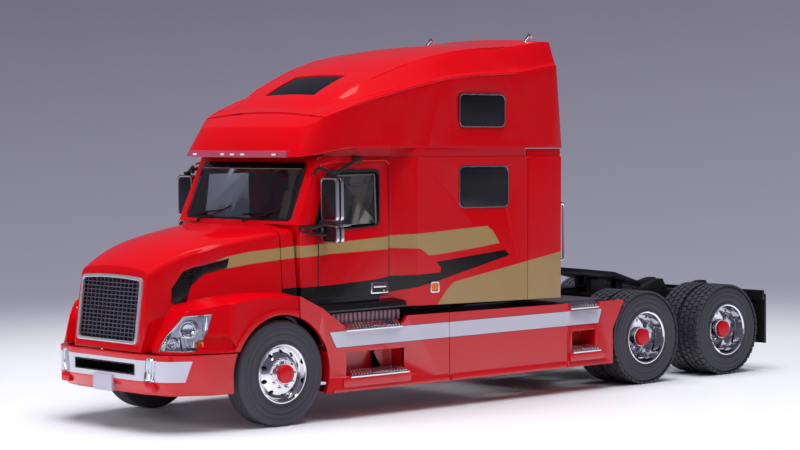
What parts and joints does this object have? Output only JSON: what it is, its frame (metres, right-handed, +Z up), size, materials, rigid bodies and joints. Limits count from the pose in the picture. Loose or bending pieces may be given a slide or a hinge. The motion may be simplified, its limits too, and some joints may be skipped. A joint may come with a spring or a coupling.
{
  "type": "scale model of a high-roof sleeper tractor truck",
  "caption": "Collector model of a conventional tractor truck: long nose, high-roof sleeper, side skirts, tandem twin-tyred drive axles and a tilting coupling plate.",
  "frame": {"origin": "bottom centre of the bounding box, on the floor, midway between bumper and mud flaps", "axes": "-Y is the direction of travel (front), +X the truck's left side, +Z up"},
  "size_m": [0.0618, 0.195, 0.09],
  "materials": {
    "red_paint": "gloss",
    "frame_black": "satin",
    "trim_black": "gloss",
    "tyre": "matte",
    "chrome": "polished",
    "steel_pin": "satin",
    "cap_red": "gloss",
    "deck_grey": "satin",
    "clear_glass": "gloss",
    "dark_glass": "gloss",
    "lens_clear": "gloss",
    "lens_amber": "gloss",
    "lens_red": "gloss",
    "plate_white": "satin",
    "cabin_beige": "matte",
    "cabin_dark": "matte"
  },
  "bodies": {
    "truck": {"frame_rails": "frame_black", "crossmembers": "frame_black", "engine_and_gearbox": "frame_black", "front_axle_beam": "frame_black", "drive_axle_housings": "frame_black", "suspension": "frame_black", "propeller_shafts": "frame_black", "deck_plate": "deck_grey", "side_skirt_left": "red_paint", "side_skirt_right": "red_paint", "step_treads": "chrome", "hood": "red_paint", "hood_vents": "trim_black", "grille_surround": "chrome", "grille_mesh": "trim_black", "bumper": "red_paint", "fog_lamps": "lens_clear", "number_plate": "plate_white", "headlamps": "lens_clear", "cab_shell": "red_paint", "windscreen": "clear_glass", "door_glass": "clear_glass", "side_extenders": "red_paint", "sleeper_windows": "dark_glass", "cab_floor": "cabin_dark", "dashboard": "cabin_dark", "steering_wheel": "cabin_dark", "seat_left": "cabin_beige", "seat_right": "cabin_beige", "bunk": "cabin_beige", "roof_cap": "red_paint", "skylight": "dark_glass", "marker_lamps": "lens_amber", "roof_horns": "chrome", "mirror_heads": "chrome", "mirror_arms": "trim_black", "handles": "chrome", "fifth_wheel_bracket": "frame_black", "mud_flaps": "frame_black", "rear_crossbar": "frame_black", "tail_lamps": "lens_red"},
    "front_wheels": {"front_tyre_left": "tyre", "front_tyre_right": "tyre", "front_rims": "chrome", "front_hub_caps": "cap_red", "front_axle_pin": "steel_pin"},
    "drive_wheels_1": {"drive_tyres_1_left": "tyre", "drive_tyres_1_right": "tyre", "drive_rims_1": "chrome", "drive_hub_caps_1": "cap_red", "drive_axle_pin_1": "steel_pin"},
    "drive_wheels_2": {"drive_tyres_2_left": "tyre", "drive_tyres_2_right": "tyre", "drive_rims_2": "chrome", "drive_hub_caps_2": "cap_red", "drive_axle_pin_2": "steel_pin"},
    "coupling_plate": {"fifth_wheel_plate": "frame_black"}
  },
  "joints": [
    {"name": "front_axle_roll", "type": "hinge", "parent": "truck", "child": "front_wheels", "pos_m": [0, -0.0675, 0.012], "axis": [1, 0, 0], "continuous": true},
    {"name": "drive_axle_1_roll", "type": "hinge", "parent": "truck", "child": "drive_wheels_1", "pos_m": [0, 0.0508, 0.012], "axis": [1, 0, 0], "continuous": true},
    {"name": "drive_axle_2_roll", "type": "hinge", "parent": "truck", "child": "drive_wheels_2", "pos_m": [0, 0.0818, 0.012], "axis": [1, 0, 0], "continuous": true},
    {"name": "coupling_tilt", "type": "hinge", "parent": "truck", "child": "coupling_plate", "pos_m": [0, 0.0505, 0.025], "axis": [1, 0, 0], "range_deg": [0, 12]}
  ]
}
